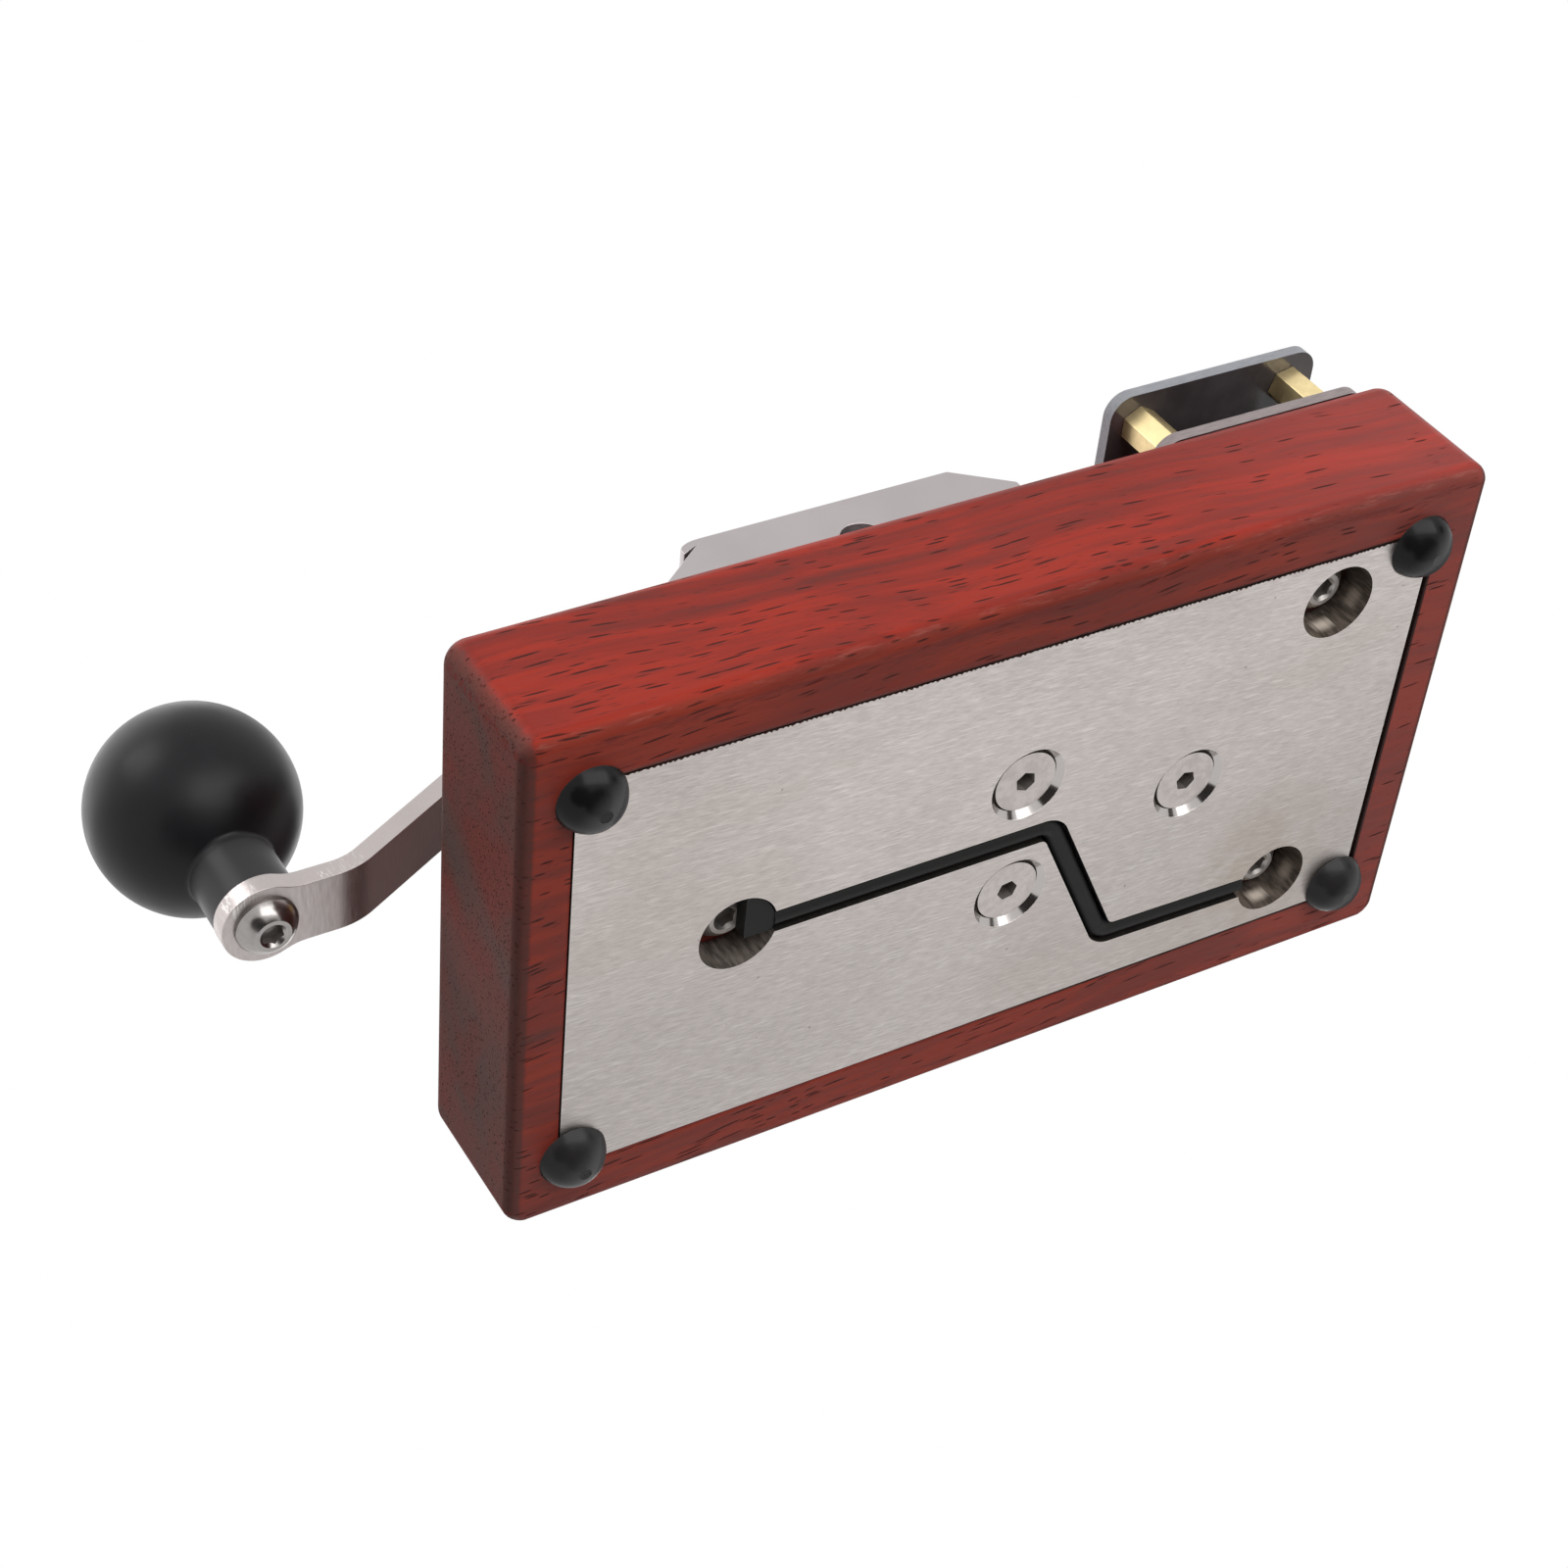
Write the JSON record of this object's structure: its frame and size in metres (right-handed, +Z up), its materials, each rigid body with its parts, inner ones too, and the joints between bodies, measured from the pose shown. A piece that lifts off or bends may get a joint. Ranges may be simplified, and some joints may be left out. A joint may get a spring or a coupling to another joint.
{
  "type": "telegraph key",
  "caption": "Straight telegraph key with a ball knob on a bent steel lever, pivoted in a machined housing on a hardwood base with an inset steel plate, rubber feet and a rear terminal box.",
  "frame": {"origin": "middle of the footprint, on the surface the rubber feet stand on", "axes": "+Z up, +Y from the knob to the terminal box at the rear, +X to the right seen from the knob"},
  "size_m": [0.0736, 0.1618, 0.0631],
  "materials": {
    "hardwood": "oiled red hardwood with dark pores",
    "brushed_steel": "fine brushed stainless",
    "lever_steel": "brushed stainless with a satin edge",
    "machined_housing": "fine bead-blasted, clear anodised",
    "screw_steel": "polished stainless",
    "bearing_steel": "ground and polished",
    "spring_steel": "drawn wire",
    "contact_silver": "turned silver alloy",
    "knurled_steel": "turned and knurled stainless",
    "knob_plastic": "satin black",
    "black_rubber": "soft satin black",
    "wire_insulation": "matt black insulation",
    "brass": "turned brass",
    "standoff_brass": "bright drawn brass",
    "tinned_copper": "dull tin plate",
    "board_laminate": "glossy black lacquer over glass laminate",
    "jack_plastic": "moulded black",
    "jack_nickel": "nickel plated"
  },
  "bodies": {
    "key_body": {"wood_base": "hardwood", "base_plate": "brushed_steel", "rubber_feet": "black_rubber", "bearing_housing": "machined_housing", "housing_screws": "screw_steel", "bearing_outer_rings": "bearing_steel", "return_spring": "spring_steel", "contact_post": "brass", "post_contact": "contact_silver", "post_screw": "screw_steel", "ring_terminals": "tinned_copper", "wire_sleeve": "wire_insulation", "keying_wire": "wire_insulation", "frame_strap": "brass", "lower_board": "board_laminate", "upper_board": "board_laminate", "board_standoffs": "standoff_brass", "lower_board_screws": "screw_steel", "upper_board_screws": "screw_steel", "terminal_screws": "screw_steel", "terminal_washers": "screw_steel", "terminal_nuts": "screw_steel", "jack_body": "jack_plastic", "jack_bushing": "jack_nickel", "jack_springs": "tinned_copper"},
    "lever": {"lever_arm": "lever_steel", "knob": "knob_plastic", "knob_insert": "brass", "knob_screw": "screw_steel", "lever_contact": "contact_silver", "spring_pin": "screw_steel", "pivot_block": "brushed_steel", "block_screws": "screw_steel", "axle_set_screw": "screw_steel", "pivot_axle": "bearing_steel", "axle_shims": "bearing_steel", "bearing_inner_rings": "bearing_steel", "bearing_balls": "bearing_steel"},
    "travel_adjuster": {"travel_screw": "knurled_steel"},
    "travel_lock": {"travel_lock_ring": "knurled_steel"},
    "tension_adjuster": {"tension_screw": "knurled_steel"},
    "tension_lock": {"tension_lock_ring": "knurled_steel"}
  },
  "joints": [
    {"name": "lever_hinge", "type": "hinge", "parent": "key_body", "child": "lever", "pos_m": [0, 0.02125, 0.0477], "axis": [1, 0, 0], "range_deg": [0, 1], "stiffness_Nm_per_rad": 0.25, "springref_deg": -22.92, "deforming": ["return_spring"]},
    {"name": "travel_screw_turn", "type": "hinge", "parent": "key_body", "child": "travel_adjuster", "pos_m": [0, 0.00755, 0.0591], "axis": [0, 0, 1], "continuous": true},
    {"name": "travel_lock_turn", "type": "hinge", "parent": "key_body", "child": "travel_lock", "pos_m": [0, 0.00755, 0.056], "axis": [0, 0, 1], "continuous": true},
    {"name": "tension_screw_turn", "type": "hinge", "parent": "key_body", "child": "tension_adjuster", "pos_m": [0, 0.03255, 0.0591], "axis": [0, 0, 1], "continuous": true},
    {"name": "tension_lock_turn", "type": "hinge", "parent": "key_body", "child": "tension_lock", "pos_m": [0, 0.03255, 0.056], "axis": [0, 0, 1], "continuous": true}
  ]
}
